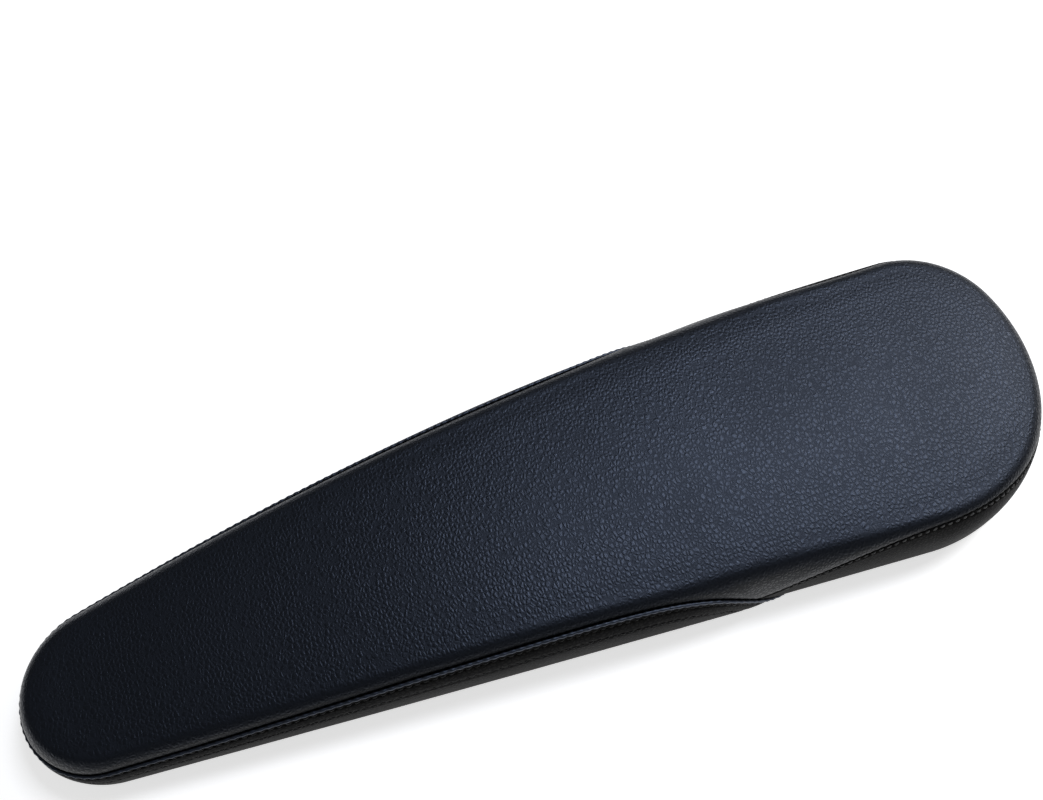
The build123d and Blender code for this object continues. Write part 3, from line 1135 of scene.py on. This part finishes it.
def give_material(node, material):
    """Put a material on a CAD node that stays as it is."""
    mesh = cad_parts[node].data
    mesh.materials.clear()
    mesh.materials.append(material)


make_camera()
make_floor(floor_material())
make_world(0.14, (1.0, 1.0, 1.0))
make_light(
    "window", azimuth=14, elevation=40, distance=1.6, size=0.5, power=7.5,
    tint=(1.0, 0.98, 0.95),
)
make_light(
    "sky", azimuth=28, elevation=66, distance=1.4, size=0.4, power=7.2,
    tint=(0.92, 0.96, 1.04),
)
bpy.context.scene.view_settings.view_transform = "Standard"

cool_black = ((0.001, 0.0012, 0.0015), (0.0026, 0.003, 0.0038))
# The strip and band are the top's leather in a shaded copy: painted warmer and lighter for the warm
# light bounced onto the sides
warm_bounce_black = ((0.004, 0.0038, 0.0034), (0.011, 0.0104, 0.0094))
top_leather = leather(
    "leather_top", *cool_black, shine=0.47, rough=0.35, grain_height=0.07 * MM,
    crease_rough=0.18, paint_side_shade=True,
)
# Shaded copy of the leather for the strip and band: almost no reflection, so the sides stay dark
matt = {"shine": 0.02, "rough": 0.45, "grain_height": 0.06 * MM}
strip_leather = leather("leather_strip", *warm_bounce_black, **matt)
band_leather = leather("leather_band", *warm_bounce_black, **matt)
# Lit copy of the strip's leather for its folded edge: cooler and far more reflective than the
# strip, painting a highlight along the bead
lit_fold_leather = leather("leather_fold", *cool_black, shine=0.9, rough=0.40, grain_height=0.05 * MM)
# One black thread in two copies: painted darker and duller on the strip, where its stitches lie in
# shade, and lighter and shinier at the wide end, where they catch the light
shaded_strip_thread = thread_material("thread_strip", 0.004, 0.010, 0.12)
lit_end_thread = thread_material("thread_wide_end", 0.009, 0.024, 0.4)

make_top_panel(top_leather)
strip = Strip()
make_wrap_strip(strip, strip_leather)
make_strip_fold(strip, lit_fold_leather)
band = make_wide_end_band(band_leather)
make_strip_stitches(strip, shaded_strip_thread)
make_band_stitches(band, lit_end_thread)
make_wadding(wadding_material())
make_edge_padding(foam_material("edge_foam", (0.2, 0.21, 0.23), (0.36, 0.37, 0.4), 0.6 * MM))
give_material("base_board", wood_material())
make_foam_core(foam_material("core_foam", (0.55, 0.5, 0.36), (0.82, 0.78, 0.62), 0.9 * MM))
zinc_steel = steel_material("zinc_steel", (0.68, 0.68, 0.66), 0.35, (400.0, 400.0, 60.0))
give_material("tee_nuts", zinc_steel)
staple_steel = steel_material("staple_steel", (0.72, 0.72, 0.72), 0.3, (150.0, 900.0, 900.0))
give_material("hem_staples", staple_steel)
give_material("dust_cover_staples", staple_steel)
make_dust_cover(non_woven_material())
